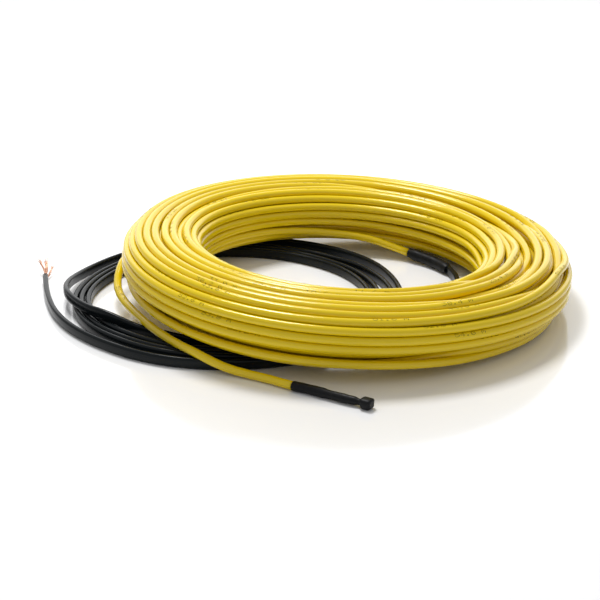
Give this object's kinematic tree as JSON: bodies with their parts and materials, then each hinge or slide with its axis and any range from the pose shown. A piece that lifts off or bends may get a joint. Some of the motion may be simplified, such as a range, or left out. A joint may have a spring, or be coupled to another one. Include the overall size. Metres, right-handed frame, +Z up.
{
  "type": "heating cable coil",
  "caption": "Coil of round twin-conductor heating cable with a shrunk end seal, a splice and a flat cold lead coiled beneath it.",
  "frame": {"origin": "middle of the underside, on the surface the coil lies on", "axes": "+Z up along the height of the coil; +X to the right and +Y away, as seen from the side of the end seal"},
  "size_m": [0.4662, 0.4196, 0.068],
  "materials": {
    "heating_sheath": "satin extruded",
    "cold_lead_sheath": "satin extruded",
    "shrink_sleeve": "matt, shrunk on",
    "bare_copper": "bright stranded wire"
  },
  "bodies": {
    "root": {"heating_cable_coil": "heating_sheath", "heating_cable_tail": "heating_sheath", "heating_cable_inner_end": "heating_sheath", "end_seal": "shrink_sleeve", "splice_sleeve": "shrink_sleeve", "cold_lead_run": "cold_lead_sheath", "cold_lead_coil": "cold_lead_sheath", "cold_lead_free_end": "cold_lead_sheath", "copper_conductor_1": "bare_copper", "copper_conductor_2": "bare_copper", "earth_screen": "bare_copper"}
  },
  "joints": []
}
